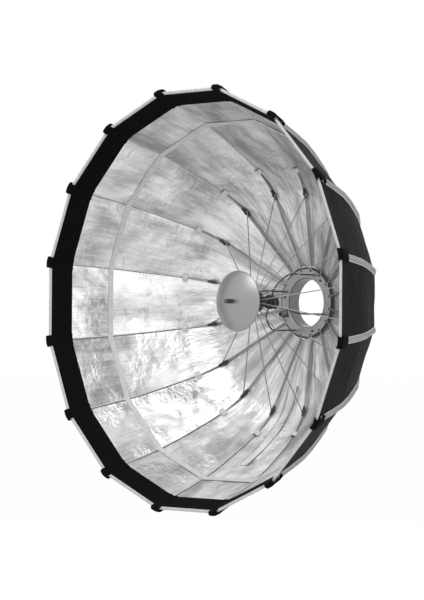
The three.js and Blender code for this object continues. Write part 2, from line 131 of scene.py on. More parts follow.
PROFILE = smooth_line(gore_profile(), 241)  # (radius, y), carrier ring to rim
PROFILE_ALONG = np.r_[0, np.cumsum(np.linalg.norm(np.diff(PROFILE, axis=0), axis=1))]
LENGTH = PROFILE_ALONG[-1]
RIM_RADIUS, RIM_Y = PROFILE[-1]
_slope = np.gradient(PROFILE, axis=0)
_slope /= np.linalg.norm(_slope, axis=1)[:, None]
# Square to the profile, towards the bowl's inside.
INWARD = np.c_[-np.abs(_slope[:, 1]), -np.abs(_slope[:, 0])]


def profile_at(along):
    """(radius, y) on the fabric at a distance from the carrier ring."""
    return np.array([np.interp(along, PROFILE_ALONG, PROFILE[:, i]) for i in (0, 1)])


def inward_at(along):
    return np.array([np.interp(along, PROFILE_ALONG, INWARD[:, i]) for i in (0, 1)])


def along_at_radius(radius):
    return float(np.interp(radius, PROFILE[:, 0], PROFILE_ALONG))


# ---- The fold, for what the fabric does when the hub slides out ----
JOINTS = {joint["name"]: joint for joint in frame["joints"]}
RATIOS = {c["joint"]: c["ratio"] for c in frame["record"]["behaviour"]["couplings"]}
HINGE_RADIUS = 0.096
HINGE = np.array([HINGE_RADIUS, JOINTS["rib_01_fold"]["pos_m"][1]])
FOLD = RATIOS["rib_01_fold"] * JOINTS["hub_slide"]["range_m"][1]
LEAST_KEEP = 0.08  # the narrowest a gathered piece gets


def keep_at(along):
    """How wide the fabric stays at full fold, as a share of its width at rest."""
    radius, y = profile_at(along)
    reach = np.array([radius - HINGE[0], HINGE[1] - y])
    folded = HINGE[0] + reach[0] * math.cos(FOLD) - reach[1] * math.sin(FOLD)
    return float(min(1.0, max(LEAST_KEEP, folded / radius)))


# ---- Mesh helpers ----
def mesh_piece(name, verts, faces, materials, face_slots=None, normals=None, smooth=True):
    mesh = bpy.data.meshes.new(name)
    mesh.from_pydata([tuple(v) for v in verts], [], [tuple(int(i) for i in f) for f in faces])
    for material in materials:
        mesh.materials.append(material)
    if face_slots is not None:
        mesh.polygons.foreach_set("material_index", np.asarray(face_slots, np.int32))
    mesh.polygons.foreach_set("use_smooth", np.full(len(mesh.polygons), smooth))
    mesh.update()
    if normals is not None:
        mesh.normals_split_custom_set([tuple(n) for n in normals])
    piece = bpy.data.objects.new(name, mesh)
    bpy.context.scene.collection.objects.link(piece)
    return piece


def finish_piece(piece, body):
    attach(piece, body)
    return piece


def tube(path, radius, sides=12, side_axis=None):
    """Verts and faces of a closed tube along path. radius may vary along it."""
    path = np.asarray(path, float)
    radii = np.broadcast_to(radius, len(path)).astype(float)
    ahead = np.gradient(path, axis=0)
    ahead /= np.linalg.norm(ahead, axis=1)[:, None]
    if side_axis is None:
        side_axis = [0, 0, 1] if abs(ahead[0][2]) < 0.9 else [1, 0, 0]
    side = np.array(side_axis, float)
    verts, faces = [], []
    for point, direction, size in zip(path, ahead, radii):
        u = side - direction * (side @ direction)
        u /= np.linalg.norm(u)
        v = np.cross(direction, u)
        for i in range(sides):
            angle = 2 * math.pi * i / sides
            verts.append(point + size * (u * math.cos(angle) + v * math.sin(angle)))
    for row in range(len(path) - 1):
        for i in range(sides):
            a, b = row * sides + i, row * sides + (i + 1) % sides
            faces.append((a, b, b + sides, a + sides))
    faces.append(tuple(reversed(range(sides))))
    faces.append(tuple(range((len(path) - 1) * sides, len(path) * sides)))
    return verts, faces


def turned(profile, segments, centre, axis):
    """A surface of revolution: profile is a closed list of (radius, along axis)."""
    axis = np.asarray(axis, float) / np.linalg.norm(axis)
    side = np.cross(axis, [0, 0, 1] if abs(axis[2]) < 0.9 else [1, 0, 0])
    side /= np.linalg.norm(side)
    other = np.cross(axis, side)
    profile = np.asarray(profile, float)
    verts, faces = [], []
    for i in range(segments):
        angle = 2 * math.pi * i / segments
        out = side * math.cos(angle) + other * math.sin(angle)
        verts += [centre + out * r + axis * h for r, h in profile]
    n = len(profile)
    for i in range(segments):
        j = (i + 1) % segments
        for k in range(n):
            m = (k + 1) % n
            faces.append((i * n + k, j * n + k, j * n + m, i * n + m))
    return verts, faces


def joined(*shapes):
    """Several (verts, faces) as one."""
    verts, faces = [], []
    for more_verts, more_faces in shapes:
        offset = len(verts)
        verts += list(more_verts)
        faces += [tuple(i + offset for i in f) for f in more_faces]
    return verts, faces


def tidy(piece, merge=1e-6, angle=35, bevel=0.0, segments=2):
    """Merges doubled points, turns the faces outwards, bevels sharp edges and shades by angle."""
    import bmesh

    bm = bmesh.new()
    bm.from_mesh(piece.data)
    bmesh.ops.remove_doubles(bm, verts=bm.verts, dist=merge)
    bmesh.ops.dissolve_degenerate(bm, edges=bm.edges, dist=merge)
    bmesh.ops.recalc_face_normals(bm, faces=bm.faces)
    bm.to_mesh(piece.data)
    bm.free()
    if bevel:
        cut = piece.modifiers.new("bevel", "BEVEL")
        cut.width, cut.segments = bevel, segments
        cut.limit_method, cut.angle_limit = "ANGLE", math.radians(30)
    piece.data.set_sharp_from_angle(angle=math.radians(angle))
    return piece


# ---- Materials ----
class Nodes:
    """A Principled material and short ways to add nodes to it."""

    def __init__(self, name, color, roughness, metallic=0.0, **sockets):
        self.material = bpy.data.materials.new(name)
        self.material.use_nodes = True
        self.tree = self.material.node_tree
        self.shader = self.tree.nodes["Principled BSDF"]
        self.shader.inputs["Base Color"].default_value = (*color, 1)
        self.shader.inputs["Roughness"].default_value = roughness
        self.shader.inputs["Metallic"].default_value = metallic
        for socket, value in sockets.items():
            self.shader.inputs[socket.replace("_", " ")].default_value = value
        self.coords = self.tree.nodes.new("ShaderNodeTexCoord").outputs["Object"]

    def add(self, kind, **values):
        node = self.tree.nodes.new("ShaderNode" + kind)
        for key, value in values.items():
            if key in node.inputs:
                node.inputs[key].default_value = value
            else:
                setattr(node, key, value)
        return node

    def link(self, source, target):
        self.tree.links.new(source, target)

    def noise(self, scale, detail=4, roughness=0.55, stretch=(1, 1, 1), distortion=0.0):
        mapping = self.add("Mapping")
        mapping.inputs["Scale"].default_value = stretch
        self.link(self.coords, mapping.inputs["Vector"])
        node = self.add("TexNoise", Scale=scale, Detail=detail, Roughness=roughness, Distortion=distortion)
        self.link(mapping.outputs[0], node.inputs["Vector"])
        return node.outputs[0]

    def panel(self, across=0.2):
        """(metres across the panel, distance from the axis, depth), the panel's number and that distance."""
        parts = self.add("SeparateXYZ")
        self.link(self.coords, parts.inputs[0])
        x, y, z = parts.outputs
        turn = self.math("ARCTAN2", self.math("MULTIPLY", x, -1.0), z)
        steps = self.math("DIVIDE", self.math("SUBTRACT", turn, FIRST_RIB), STEP)
        squares = self.math("ADD", self.math("POWER", x, 2.0), self.math("POWER", z, 2.0))
        radius = self.math("SQRT", squares, 0.0)
        place = self.add("CombineXYZ")
        self.link(self.math("MULTIPLY", self.math("FRACT", steps, 0.0), across), place.inputs[0])
        self.link(radius, place.inputs[1])
        self.link(y, place.inputs[2])
        number = self.math("FLOORED_MODULO", self.math("FLOOR", steps, 0.0), float(RIBS))
        return place.outputs[0], number, radius

    def panel_noise(self, place, number, scale, detail=4, roughness=0.55, stretch=(1, 1, 1), distortion=0.0):
        mapping = self.add("Mapping")
        mapping.inputs["Scale"].default_value = stretch
        self.link(place, mapping.inputs["Vector"])
        node = self.add("TexNoise", noise_dimensions="4D")
        values = {"Scale": scale, "Detail": detail, "Roughness": roughness, "Distortion": distortion}
        for socket, value in values.items():
            node.inputs[socket].default_value = value
        self.link(mapping.outputs[0], node.inputs["Vector"])
        self.link(self.math("MULTIPLY", number, 5.7), node.inputs["W"])
        return node.outputs[0]

    def ramp(self, source, low, high, at=(0.3, 0.7)):
        node = self.add("ValToRGB")
        node.color_ramp.elements[0].position, node.color_ramp.elements[1].position = at
        node.color_ramp.elements[0].color = (*low, 1)
        node.color_ramp.elements[1].color = (*high, 1)
        self.link(source, node.inputs[0])
        return node.outputs[0]

    def spread(self, source, low, high):
        node = self.add("MapRange")
        node.inputs["To Min"].default_value, node.inputs["To Max"].default_value = low, high
        self.link(source, node.inputs["Value"])
        return node.outputs[0]

    def math(self, operation, a, b):
        node = self.add("Math", operation=operation)
        for i, value in enumerate((a, b)):
            if isinstance(value, (int, float)):
                node.inputs[i].default_value = value
            else:
                self.link(value, node.inputs[i])
        return node.outputs[0]

    def color(self, source):
        self.link(source, self.shader.inputs["Base Color"])

    def rough(self, source):
        self.link(source, self.shader.inputs["Roughness"])

    def bump(self, *layers):
        """layers are (height, strength, distance in metres)."""
        last = None
        for height, strength, distance in layers:
            node = self.add("Bump", Strength=strength, Distance=distance)
            self.link(height, node.inputs["Height"])
            if last is not None:
                self.link(last, node.inputs["Normal"])
            last = node.outputs[0]
        self.link(last, self.shader.inputs["Normal"])


def weave(m, pitch):
    """Over-and-under threads of a plain weave, from 0 to 1."""
    scale = 1.0 / pitch / 6.283
    wave_x = m.add("TexWave", Scale=scale, Distortion=0.4, bands_direction="X")
    wave_z = m.add("TexWave", Scale=scale, Distortion=0.4, bands_direction="Z")
    for wave in (wave_x, wave_z):
        m.link(m.coords, wave.inputs["Vector"])
    return m.math("MULTIPLY", wave_x.outputs["Fac"], wave_z.outputs["Fac"])


def lining_material():
    m = Nodes("silver_lining", (0.5, 0.5, 0.5), 0.30, 0.9)
    place, number, radius = m.panel()
    painted_reflection_blotch = m.panel_noise(place, number, 8, 5, 0.6, stretch=(1.3, 0.8, 0.8), distortion=0.3)
    streak = m.panel_noise(place, number, 150, 3, 0.6, stretch=(1.3, 0.07, 0.07), distortion=0.2)
    crumple = m.panel_noise(place, number, 15, 6, 0.58, stretch=(1.2, 0.6, 0.6), distortion=0.35)
    pucker = m.panel_noise(place, number, 60, 4, 0.6, stretch=(0.6, 1.3, 1.3), distortion=0.6)
    patches = m.panel_noise(place, number, 9, 3, 0.5)
    pucker = m.math("MULTIPLY", pucker, m.ramp(patches, (0, 0, 0), (1, 1, 1), at=(0.46, 0.60)))
    hatch = m.panel_noise(place, number, 260, 2, 0.5, stretch=(0.12, 1, 1))
    near_ring = m.add("MapRange")
    for socket, value in (("From Min", 0.40), ("From Max", 0.12), ("To Min", 0.0), ("To Max", 1.0)):
        near_ring.inputs[socket].default_value = value
    m.link(radius, near_ring.inputs["Value"])
    pleat = m.panel_noise(place, number, 60, 3, 0.5, stretch=(2.2, 0.10, 0.10), distortion=0.3)
    pleat = m.math("MULTIPLY", pleat, near_ring.outputs[0])
    # Painted reflection and painted shade: the blotches and radial streaks in the silver base colour stand in for
    # the crinkled foil's mottled reflections and shading bands. The same streaks also vary roughness and bump.
    painted_reflection_tone = m.math("ADD", m.math("MULTIPLY", painted_reflection_blotch, 0.75), m.math("MULTIPLY", streak, 0.25))
    m.color(m.ramp(painted_reflection_tone, (0.42, 0.42, 0.425), (0.88, 0.88, 0.88), at=(0.39, 0.58)))
    m.rough(m.spread(streak, 0.22, 0.42))
    m.bump(
        (crumple, 0.55, 0.008),
        (streak, 0.45, 0.0012),
        (pucker, 0.75, 0.005),
        (pleat, 0.7, 0.006),
        (hatch, 0.30, 0.0005),
        (weave(m, 0.0011), 0.12, 0.0002),
    )
    return m.material


def cover_material():
    m = Nodes("black_cover", (0.010, 0.010, 0.011), 0.75, Specular_IOR_Level=0.06)
    m.color(m.ramp(m.noise(14, 5), (0.007, 0.007, 0.008), (0.014, 0.014, 0.015)))
    m.rough(m.spread(m.noise(120, 3), 0.62, 0.82))
    m.bump((m.noise(18, 5, 0.6), 0.35, 0.004), (weave(m, 0.0009), 0.35, 0.0003))
    return m.material


def band_material():
    m = Nodes("black_band", (0.005, 0.005, 0.005), 0.85, Specular_IOR_Level=0.05)
    m.color(m.ramp(m.noise(160, 3), (0.003, 0.003, 0.003), (0.007, 0.007, 0.007)))
    m.bump((weave(m, 0.0008), 0.35, 0.0003))
    return m.material


def tape_material(name, low, high, roughness=0.75, pitch=0.0012):
    m = Nodes(name, high, roughness, Specular_IOR_Level=0.2)
    m.color(m.ramp(m.noise(90, 4), low, high))
    m.bump((weave(m, pitch), 0.4, 0.0003), (m.noise(40, 3), 0.15, 0.0008))
    return m.material


def metal_material(name, color, roughness, scale=300, wear=0.04):
    m = Nodes(name, color, roughness, 0.9)
    low = tuple(max(0, c - wear) for c in color)
    grain = m.noise(scale, 4, 0.6)
    m.color(m.ramp(m.noise(30, 4), low, color))
    m.rough(m.spread(grain, roughness - 0.06, roughness + 0.08))
    m.bump((grain, 0.12, 0.0001))
    return m.material


def plastic_material(name, color, roughness=0.5):
    m = Nodes(name, color, roughness)
    m.color(m.ramp(m.noise(60, 3), tuple(c * 0.8 for c in color), color))
    m.rough(m.spread(m.noise(220, 3), roughness - 0.08, roughness + 0.1))
    m.bump((m.noise(900, 2), 0.15, 0.0001))
    return m.material


LINING = lining_material()
COVER = cover_material()
BAND = band_material()
WEBBING = tape_material("grey_webbing", (0.62, 0.62, 0.62), (0.74, 0.74, 0.74))
BINDING = tape_material("binding_tape", (0.52, 0.52, 0.52), (0.66, 0.66, 0.66), pitch=0.003)
# Pale tape for edges and loop tabs; on the rib seams it is also a painted highlight.
PALE_EDGE = tape_material("pale_edge", (0.70, 0.70, 0.70), (0.82, 0.82, 0.82))
SLEEVE = tape_material("sleeve_tape", (0.40, 0.40, 0.41), (0.50, 0.50, 0.51))
THREAD = tape_material("grey_thread", (0.16, 0.16, 0.16), (0.24, 0.24, 0.24), pitch=0.0006)
# Near-black tape colour, used only for the rib seams' painted shade line.
PAINTED_SHADE_TAPE = tape_material("seam_shade", (0.10, 0.10, 0.10), (0.20, 0.20, 0.20), pitch=0.0008)
ROD_STEEL = metal_material("rod_steel", (0.34, 0.34, 0.35), 0.30, scale=500)
STRUT_STEEL = metal_material("strut_steel", (0.33, 0.33, 0.34), 0.30, scale=500)
BRACKET = metal_material("bracket_steel", (0.13, 0.13, 0.14), 0.38)
RING = metal_material("ring_aluminium", (0.42, 0.42, 0.43), 0.36, wear=0.05)
RING_DARK = metal_material("ring_dark", (0.10, 0.10, 0.11), 0.45)
INSERT = metal_material("insert_aluminium", (0.20, 0.20, 0.21), 0.38)
DEFLECTOR = metal_material("deflector_satin", (0.36, 0.36, 0.36), 0.34, wear=0.015)
KNOB = metal_material("knob_metal", (0.16, 0.16, 0.16), 0.40)
PLASTIC = plastic_material("black_plastic", (0.035, 0.035, 0.038))

# ---- Fabric gores ----
ROWS = 96
HALF_COLUMNS = 14
SEGMENTS = 6
LAMINATE = 0.5 * MM
INSIDE_STEP = 0.3 * MM  # lining face from the fabric's middle line
PLEAT_REACH = 0.26  # how far from the carrier ring the pleats run
PLEAT_HEIGHT = 3.2 * MM
FLAT_RIM = 0.08  # the wrinkles fade over this length before the rim


def wrinkle(point, share_across, along):
    """How far the fabric stands in from its flat panel at a point, in metres."""
    edge = math.sin(math.pi * share_across) ** 0.7
    near_ring = max(0.0, 1 - along / PLEAT_REACH)
    near_rim = min(1.0, max(0.0, (LENGTH - along) / FLAT_RIM))
    place = Vector(point)
    slow = noise.noise(place * 13) * 1.7 * MM + noise.noise(place * 34 + Vector((3, 7, 1))) * 0.8 * MM
    angle = math.atan2(-point[0], point[2])
    pleats = noise.noise(Vector((angle * 26, along * 5, 4.2)))
    pleats += 0.6 * noise.noise(Vector((angle * 55, along * 8, 9.1)))
    return edge * (slow * near_rim + pleats * PLEAT_HEIGHT * near_ring * min(1, along / 0.02))


def panel_grid(k):
    """Points of the panel between rib k and rib k+1: rows along the profile, columns across."""
    start, end = radial(rib_angle(k)), radial(rib_angle(k + 1))
    columns = 2 * HALF_COLUMNS + 1
    grid = np.zeros((ROWS + 1, columns, 3))
    middle = radial(rib_angle(k + 0.5))
    for row, along in enumerate(np.linspace(0, LENGTH, ROWS + 1)):
        radius, y = profile_at(along)
        inward = inward_at(along)
        for column in range(columns):
            share = column / (columns - 1)
            flat = (start * (1 - share) + end * share) * radius + AXIS * y
            push = wrinkle(flat, share, along)
            grid[row, column] = flat + (middle * inward[0] + AXIS * inward[1]) * push
    return grid


def grid_normals(grid):
    """Unit normals of a panel, pointing into the bowl."""
    down, across = np.gradient(grid, axis=0), np.gradient(grid, axis=1)
    normals = np.cross(down, across)
    normals /= np.linalg.norm(normals, axis=2)[:, :, None]
    towards_axis = -grid * np.array([1, 0, 1])
    flip = np.sign((normals * towards_axis).sum(axis=2).mean())
    return normals * flip


def edge_pairs(rows, columns):
    """Neighbouring points round the edge of a grid."""
    rim = list(range(columns)) + [r * columns + columns - 1 for r in range(1, rows)]
    rim += [(rows - 1) * columns + c for c in range(columns - 2, -1, -1)]
    rim += [r * columns for r in range(rows - 2, 0, -1)]
    return zip(rim, rim[1:] + rim[:1])


def gore_segments(k, panels, normals):
    """The gore on rib k: half of the panel on each side, as laminated sheets cut into lengths that ride the rib.
    """
    before, after = panels[(k - 1) % RIBS], panels[k]
    before_normals, after_normals = normals[(k - 1) % RIBS], normals[k]
    points = np.concatenate([before[:, HALF_COLUMNS:], after[:, 1 : HALF_COLUMNS + 1]], axis=1)
    rib_column = HALF_COLUMNS
    columns = points.shape[1]
    left, right = before_normals[:, HALF_COLUMNS:], after_normals[:, : HALF_COLUMNS + 1]
    shift = np.concatenate([left[:, :-1], (left[:, -1:] + right[:, :1]) / 2, right[:, 1:]], axis=1)
    cuts = np.linspace(0, ROWS, SEGMENTS + 1).round().astype(int)
    body = f"rib_{k + 1:02d}"
    for part in range(SEGMENTS):
        first, last = cuts[part], cuts[part + 1]
        rows = last - first + 1
        block = points[first : last + 1]
        lift = shift[first : last + 1]
        inner = (block + lift * INSIDE_STEP).reshape(-1, 3)
        outer = (block + lift * (INSIDE_STEP - LAMINATE)).reshape(-1, 3)
        verts = np.concatenate([inner, outer])
        count = rows * columns
        faces, slots, loop_normals = [], [], []
        for row in range(rows - 1):
            for column in range(columns - 1):
                a = row * columns + column
                quad = (a, a + 1, a + columns + 1, a + columns)
                on_left = column < rib_column
                source = left if on_left else right
                base = 0 if on_left else rib_column
                corner = [source[first + q // columns, q % columns - base] for q in quad]
                faces.append(tuple(reversed(quad)))
                slots.append(0)
                loop_normals += corner[::-1]
                faces.append(tuple(q + count for q in quad))
                slots.append(1)
                loop_normals += [-n for n in corner]
        for a, b in edge_pairs(rows, columns):
            faces.append((a, b, b + count, a + count))
            slots.append(1)
            loop_normals += [(0, 0, 0)] * 4
        name = f"gore_{k + 1:02d}_{part + 1}"
        piece = mesh_piece(name, verts, faces, [LINING, COVER], slots, loop_normals)
        finish_piece(piece, body)
        middle = (cuts[part] + cuts[part + 1]) / 2 / ROWS * LENGTH
        flatten(piece, keep_at(middle))
        if part == SEGMENTS - 1:
            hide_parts(f"gore_{k + 1:02d}")


def flatten(piece, keep):
    """Gives the piece its own copy of its mesh when keep is below one."""
    if keep < 1:
        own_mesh(piece)


# ---- Flat tapes that lie on the fabric ----
def on_gore(k, along, across, inside):
    """A point by rib k's gore: across is sideways from the rib, inside is the height over the fabric."""
    radius, y = profile_at(along)
    step = inward_at(along)
    low = abs(across) * math.tan(STEP / 2)
    return rib_point(k, radius - low + step[0] * inside, y + step[1] * inside, across)


def half_width(along):
    return float(profile_at(along)[0] * math.sin(STEP / 2) * math.cos(STEP / 2))


def tape_on_gore(name, k, rows, columns, inside, thickness, material):
    """A closed flat tape. rows are distances along the profile, columns are functions of one or numbers."""
    grid, under = [], []
    for along in rows:
        across = [c(along) if callable(c) else c for c in columns]
        grid.append([on_gore(k, along, x, inside + thickness) for x in across])
        under.append([on_gore(k, along, x, inside) for x in across])
    verts, faces = slab(np.array(grid), np.array(under))
    piece = mesh_piece(name, verts, faces, [material], smooth=False)
    tidy(piece, angle=30)
    return finish_piece(piece, f"rib_{k + 1:02d}")


def slab(top, bottom):
    """Verts and faces of the closed sheet between two grids of points."""
    rows, columns = top.shape[:2]
    count = rows * columns
    verts = np.concatenate([top.reshape(-1, 3), bottom.reshape(-1, 3)])
    faces = []
    for row in range(rows - 1):
        for column in range(columns - 1):
            a = row * columns + column
            quad = (a, a + 1, a + columns + 1, a + columns)
            faces += [quad, tuple(q + count for q in reversed(quad))]
    faces += [(b, a, a + count, b + count) for a, b in edge_pairs(rows, columns)]
    return verts, faces


BAND_RADIUS = 0.564  # inner edge of the black band, on a rib
WEB_RADIUS = 0.515
WEB_WIDTH = 15.5 * MM
LOOP_RADIUS = 0.388
POCKET_WIDTH = 32 * MM
POCKET_OUTSIDE = 40 * MM
POCKET_KEEP = 0.62  # the pockets' width at full fold
ROD_OFFSET = 5.2 * MM
ROD_RADIUS = 2.75 * MM


def band(k):
    start = along_at_radius(BAND_RADIUS)
    rows = np.linspace(start, LENGTH, 5)
    columns = [lambda s, i=i: half_width(s) * i / 4 for i in range(-4, 5)]
    piece = tape_on_gore(f"rim_band_{k + 1:02d}", k, rows, columns, 0.9 * MM, 0.8 * MM, BAND)
    flatten(piece, keep_at(LENGTH - 0.03))


def binding(k):
    """Ribbed tape folded over the fabric's front edge, flaring outwards."""
    outline = [(0.3, -7), (1.5, -7), (1.9, 0), (0.2, 2.4), (-4.6, 3.0), (-6.2, 1.2)]
    outline += [(-5.8, -0.6), (-1.4, -1.2)]
    slope = inward_at(LENGTH)
    forward = np.array([abs(slope[1]), -abs(slope[0])])
    rings = []
    limit = half_width(LENGTH)
    for share in np.linspace(-1, 1, 5):
        ring = []
        for inside, ahead in outline:
            r, y = np.array([RIM_RADIUS, RIM_Y]) + slope * inside * MM + forward * ahead * MM
            across = share * (limit + (r - RIM_RADIUS) * math.tan(STEP / 2))
            ring.append(rib_point(k, r - abs(across) * math.tan(STEP / 2), y, across))
        rings.append(ring)
    rings = np.array(rings)
    rows, n = rings.shape[:2]
    verts = rings.reshape(-1, 3)
    faces = [
        (i * n + j, i * n + (j + 1) % n, (i + 1) * n + (j + 1) % n, (i + 1) * n + j)
        for i in range(rows - 1)
        for j in range(n)
    ]
    faces += [tuple(range(n)), tuple(reversed(range((rows - 1) * n, rows * n)))]
    piece = mesh_piece(f"rim_binding_{k + 1:02d}", verts, faces, [BINDING])
    tidy(piece, angle=50)
    finish_piece(piece, f"rib_{k + 1:02d}")
    flatten(piece, keep_at(LENGTH))


def webbing(k):
    middle = along_at_radius(WEB_RADIUS)
    rows = [middle + WEB_WIDTH * share for share in (-1 / 2, -1 / 6, 1 / 6, 1 / 2)]
    columns = [lambda s, i=i: half_width(s) * i / 3 for i in range(-3, 4)]
    name = f"webbing_{k + 1:02d}"
    piece = tape_on_gore(name, k, rows, columns, 1.9 * MM, 0.9 * MM, WEBBING)
    flatten(piece, keep_at(middle))


def pocket(k):
    """Black strap over the rod's tip: up the band's inside, round the tip and back outside."""
    start = along_at_radius(BAND_RADIUS) - 2 * MM
    inside = [profile_at(s) + inward_at(s) * 2.0 * MM for s in np.linspace(start, LENGTH - 2 * MM, 5)]
    slope = inward_at(LENGTH)
    ahead = np.array([abs(slope[1]), -abs(slope[0])])
    tip = np.array([RIM_RADIUS, RIM_Y])
    turn = [tip + slope * 2.5 * MM + ahead * 6 * MM, tip + ahead * 9.5 * MM]
    turn += [tip - slope * 7 * MM + ahead * 9 * MM, tip - slope * 10 * MM + ahead * 4 * MM]
    back = np.linspace(LENGTH - 4 * MM, LENGTH - POCKET_OUTSIDE, 4)
    outside = [profile_at(s) - inward_at(s) * 10.0 * MM for s in back]
    outside.append(profile_at(LENGTH - POCKET_OUTSIDE - 3 * MM) - inward_at(LENGTH) * 2 * MM)
    line = smooth_line(inside + turn + outside, 30)
    ahead_line = np.gradient(line, axis=0)
    ahead_line /= np.linalg.norm(ahead_line, axis=1)[:, None]
    square = np.c_[ahead_line[:, 1], -ahead_line[:, 0]]
    top, bottom = [], []
    shares = np.linspace(-1, 1, 9)
    for (r, y), (nr, ny) in zip(line, square):
        top.append([strap_point(k, r, y, share) for share in shares])
        bottom.append([strap_point(k, r + nr * 1.4 * MM, y + ny * 1.4 * MM, share) for share in shares])
    verts, faces = slab(np.array(top), np.array(bottom))
    piece = mesh_piece(f"tip_pocket_{k + 1:02d}", verts, faces, [BAND])
    tidy(piece, angle=50)
    finish_piece(piece, f"rib_{k + 1:02d}")
    flatten(piece, POCKET_KEEP)
    stitches(k, line)


def strap_point(k, r, y, share):
    across = share * POCKET_WIDTH / 2
    low = (abs(across) - 4 * MM) * math.tan(STEP / 2) if abs(across) > 4 * MM else 0
    return rib_point(k, r - low, y, across)


def stitches(k, line):
    """Two thin stitched lines near the strap's edges."""
    shapes = []
    for side in (-0.82, 0.82):
        path = [strap_point(k, r, y, side) for r, y in line[1:13]]
        lift = [p + radial(rib_angle(k)) * -0.25 * MM + AXIS * -0.2 * MM for p in path]
        shapes.append(tube(lift, 0.35 * MM, 6))
    verts, faces = joined(*shapes)
    piece = mesh_piece(f"pocket_stitch_{k + 1:02d}", verts, faces, [THREAD])
    tidy(piece)
    finish_piece(piece, f"rib_{k + 1:02d}")
    flatten(piece, POCKET_KEEP)


def sleeve(k):
    """Grey tape sewn over the rod, outside the cover, with pale edges."""
    start, end = along_at_radius(LOOP_RADIUS) + 26 * MM, LENGTH - POCKET_OUTSIDE + 6 * MM
    rows = np.linspace(start, end, 26)
    outline = [(-9, -0.7), (-7, -1.0), (-4.6, -6.4), (-2.6, -8.6), (0, -9.4)]
    outline += [(-x, h) for x, h in reversed(outline[:-1])]
    top = np.array([[sleeve_point(k, s, x, h, start) for x, h in outline] for s in rows])
    bottom = np.array([[sleeve_point(k, s, x, h + 0.9, start) for x, h in outline] for s in rows])
    verts, faces = slab(top, bottom)
    piece = mesh_piece(f"rod_sleeve_{k + 1:02d}", verts, faces, [SLEEVE])
    tidy(piece, angle=60)
    finish_piece(piece, f"rib_{k + 1:02d}")
    edges = []
    for side in (-1, 1):
        path = [sleeve_point(k, s, side * 8.6, -1.3, start) for s in rows]
        edges.append(tube(path, 1.3 * MM, 6))
    verts, faces = joined(*edges)
    piece = mesh_piece(f"sleeve_edge_{k + 1:02d}", verts, faces, [PALE_EDGE])
    tidy(piece)
    finish_piece(piece, f"rib_{k + 1:02d}")


def sleeve_point(k, along, x, height, start):
    """Outside the cover: x across the rib and height over the fabric, in mm, flatter where it starts."""
    rise = min(1.0, 0.35 + (along - start) / 0.05)
    return on_gore(k, along, x * MM, height * MM * rise)


def rib_seam(k):
    """The sewn seam between panels, from the loop to the band: a near-black tube of painted shade beside a pale
    tube of painted highlight, for the seam ridge's shaded and lit sides.
    """
    rows = np.linspace(along_at_radius(LOOP_RADIUS) + 10 * MM, along_at_radius(BAND_RADIUS) - 1 * MM, 22)
    # Pale tube: painted highlight along the seam's lit side. The near-black tube below: painted shade along its
    # shaded side.
    pale = tube([on_gore(k, s, 1.6 * MM, 1.3 * MM) for s in rows], 1.3 * MM, 8)
    dark = tube([on_gore(k, s, -1.3 * MM, 0.9 * MM) for s in rows], 0.9 * MM, 8)
    for name, shape, material, slot in (
        ("seam_painted_highlight", pale, PALE_EDGE, "webbing_grey"),
        ("seam_painted_shade", dark, PAINTED_SHADE_TAPE, "cover_black"),
    ):
        piece = mesh_piece(f"{name}_{k + 1:02d}", *shape, [material])
        tidy(piece)
        finish_piece(piece, f"rib_{k + 1:02d}")


def loop_tab(k):
    """The fabric loop that ties the rod to the seam where it passes out of the bowl."""
    middle = along_at_radius(LOOP_RADIUS)
    rows = np.linspace(middle - 8 * MM, middle + 8 * MM, 5)
    outline = [(-13, 1.2), (-9, 1.6), (-6, 4.2), (-3.4, 7.6), (0, 9.0)]
    outline += [(-x, h) for x, h in reversed(outline[:-1])]
    top = np.array([[on_gore(k, s, x * MM, (h + 0.8) * MM) for x, h in outline] for s in rows])
    bottom = np.array([[on_gore(k, s, x * MM, h * MM) for x, h in outline] for s in rows])
    verts, faces = slab(top, bottom)
    piece = mesh_piece(f"rod_loop_{k + 1:02d}", verts, faces, [PALE_EDGE])
    tidy(piece, angle=50)
    finish_piece(piece, f"rib_{k + 1:02d}")
    flatten(piece, 0.8)


# ---- Rods and struts ----
CLIP = np.array([0.3176, -0.1155])
LOOP = np.array([0.386, -0.1645])
HUB_PIVOT = np.array([0.0245, -0.2535])
STRUT_SIDE = 6 * MM


def rod_line():
    """(radius, y) of a rod: hinge, clip, then inside the fabric to the loop and outside it to the rim."""
    rows = np.linspace(along_at_radius(LOOP_RADIUS + 42 * MM), LENGTH - 8 * MM, 7)
    outer = [profile_at(s) - inward_at(s) * ROD_OFFSET for s in rows]
    return smooth_line([HINGE, (HINGE + CLIP) / 2, CLIP, LOOP, *outer], 90)


ROD_LINE = rod_line()


def across_tube(k, point, radius, low, high, sides=20):
    path = [rib_point(k, point[0], point[1], x) for x in (low, high)]
    return tube(path, radius, sides, side_axis=radial(rib_angle(k)))


def rod(k):
    path = [rib_point(k, r, y) for r, y in ROD_LINE]
    shaft = tube(path, ROD_RADIUS, 14, side_axis=tangent(rib_angle(k)))
    eye = across_tube(k, HINGE, 4 * MM, -3 * MM, 3 * MM)
    pin = across_tube(k, HINGE, 1.6 * MM, -6.5 * MM, 6.5 * MM, 12)
    piece = mesh_piece(f"spring_rod_{k + 1:02d}", *joined(shaft, eye, pin), [ROD_STEEL])
    tidy(piece, bevel=0.3 * MM)
    finish_piece(piece, f"rib_{k + 1:02d}")
    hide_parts(f"rod_{k + 1:02d}")
    clip(k)


